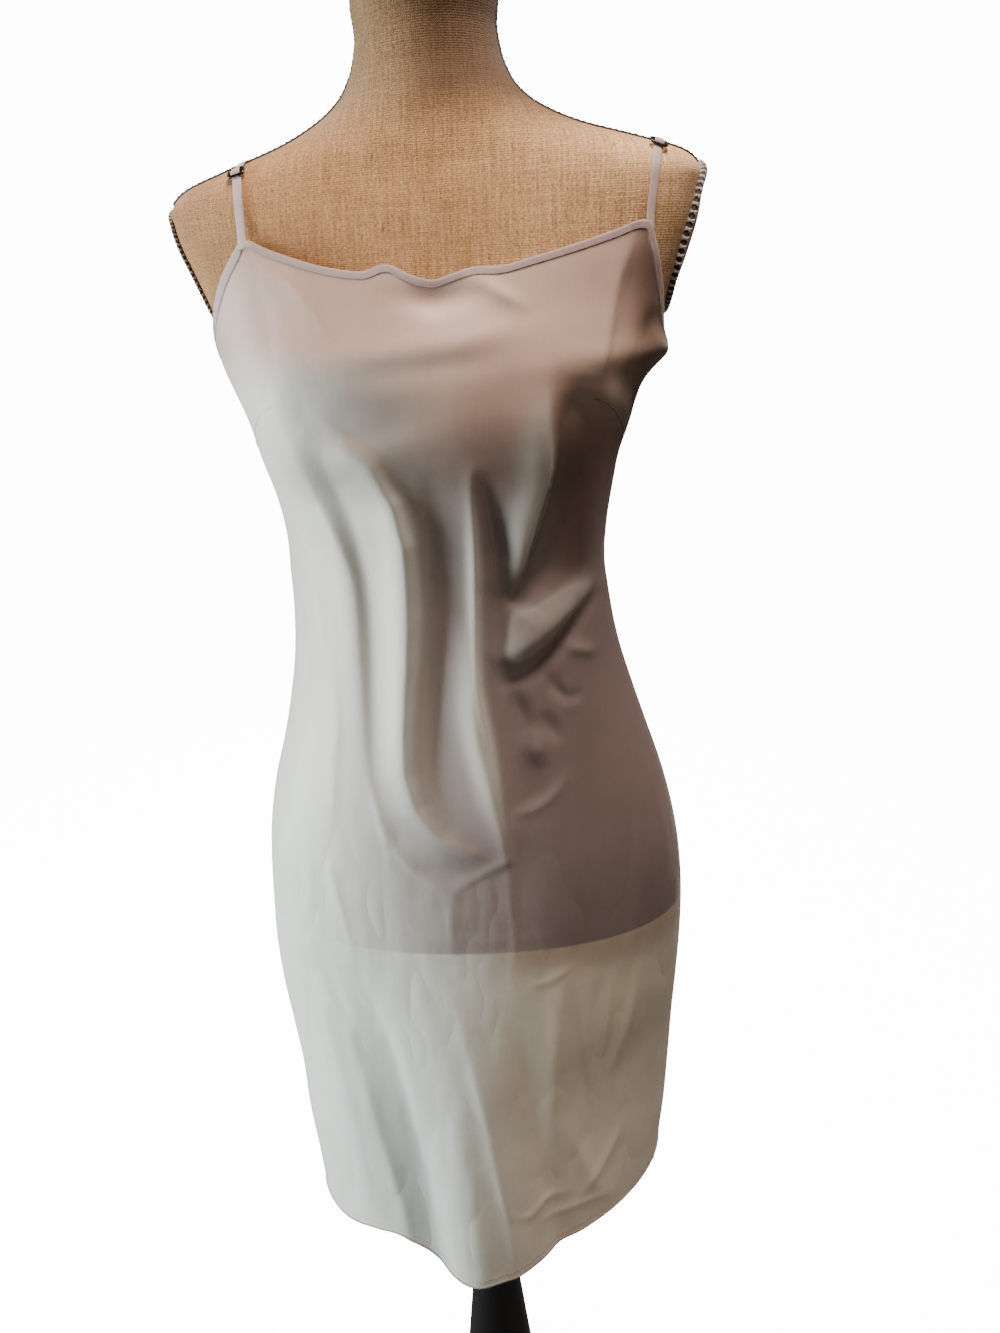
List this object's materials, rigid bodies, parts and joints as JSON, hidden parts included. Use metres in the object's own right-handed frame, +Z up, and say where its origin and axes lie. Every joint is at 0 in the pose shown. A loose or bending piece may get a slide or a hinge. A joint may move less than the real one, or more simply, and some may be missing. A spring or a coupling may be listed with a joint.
{
  "type": "slip dress on a dress form",
  "caption": "Satin slip dress with spaghetti straps and soft folds, worn by a limbless linen-covered dress form on a black flared stand with a round base.",
  "frame": {"origin": "on the floor under the middle of the stand's round base, on the pole's axis", "axes": "+Z up along the pole; the front of the dress faces -Y; +X is to the right of someone who looks at the front"},
  "size_m": [0.3766, 0.32, 1.5315],
  "materials": {
    "satin": "thin semi-sheer champagne satin, soft sheen",
    "satin_binding": "folded satin binding with one row of stitching",
    "linen": "natural linen weave with slubs and dark flecks, matt",
    "slider_metal": "small polished slide with dark edges",
    "stand_black": "black satin paint"
  },
  "bodies": {
    "root": {"dress_front": "satin", "dress_back": "satin", "binding_neck_front": "satin_binding", "binding_neck_back": "satin_binding", "binding_armhole_left": "satin_binding", "binding_armhole_right": "satin_binding", "strap_front_left": "satin_binding", "strap_front_right": "satin_binding", "strap_back_left": "satin_binding", "strap_back_right": "satin_binding", "strap_slider_left": "slider_metal", "strap_slider_right": "slider_metal", "form_torso": "linen", "form_arm_plate_left": "linen", "form_arm_plate_right": "linen", "form_base_plate": "stand_black", "stand_pole": "stand_black", "stand_base": "stand_black"}
  },
  "joints": []
}
